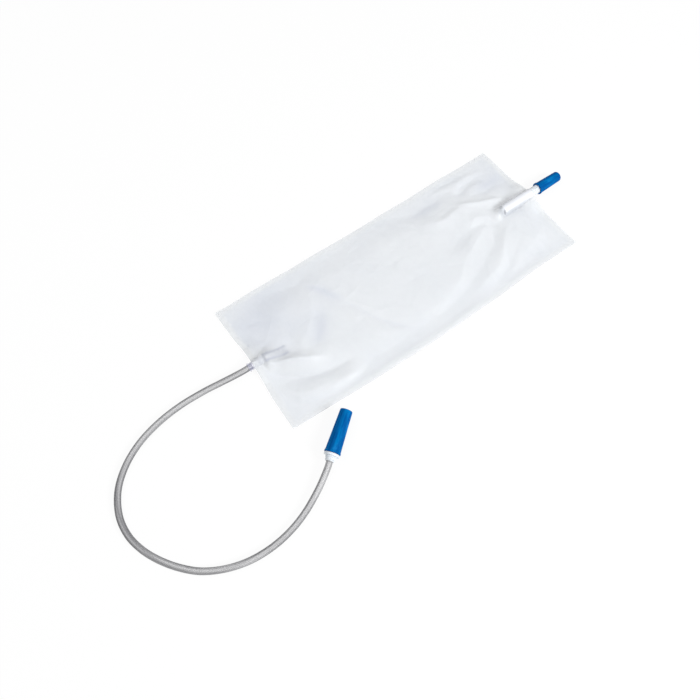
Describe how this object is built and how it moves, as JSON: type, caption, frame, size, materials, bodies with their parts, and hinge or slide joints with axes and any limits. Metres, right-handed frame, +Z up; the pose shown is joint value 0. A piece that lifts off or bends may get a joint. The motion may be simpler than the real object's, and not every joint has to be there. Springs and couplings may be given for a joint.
{
  "type": "urine drainage bag",
  "caption": "Flat clear film drainage pouch with a flexible inlet tube, capped tube connector and capped outlet spout.",
  "frame": {"origin": "on the surface the pouch lies on, under the middle of the pouch with its inlet port and outlet cap, the free tube apart", "axes": "+X along the pouch from its inlet to its outlet, +Z up, out of the front film"},
  "size_m": [0.5657, 0.2337, 0.0161],
  "materials": {
    "clear_film": "milky clear PVC film, softly glossy, with fine creases and an embossed weld",
    "clear_port": "clear soft PVC moulding",
    "valve_film": "clear blue-tinged film sleeve",
    "clear_tube": "clear soft PVC tube",
    "white_plastic": "white moulded plastic, satin",
    "blue_plastic": "blue moulded plastic, satin, with shallow lengthwise flutes"
  },
  "bodies": {
    "bag": {"front_film": "clear_film", "back_film": "clear_film", "inlet_port": "clear_port", "flutter_valve": "valve_film", "drainage_tube": "clear_tube", "inlet_connector": "white_plastic", "outlet_spout": "white_plastic"},
    "inlet_cap": {"inlet_cap": "blue_plastic"},
    "outlet_cap": {"outlet_cap": "blue_plastic"}
  },
  "joints": [
    {"name": "inlet_cap_pull", "type": "slide", "parent": "bag", "child": "inlet_cap", "axis": [0.7905, 0.6109, 0.0436], "range_m": [0, 0.042]},
    {"name": "outlet_cap_pull", "type": "slide", "parent": "bag", "child": "outlet_cap", "axis": [1, 0, 0], "range_m": [0, 0.026]}
  ]
}
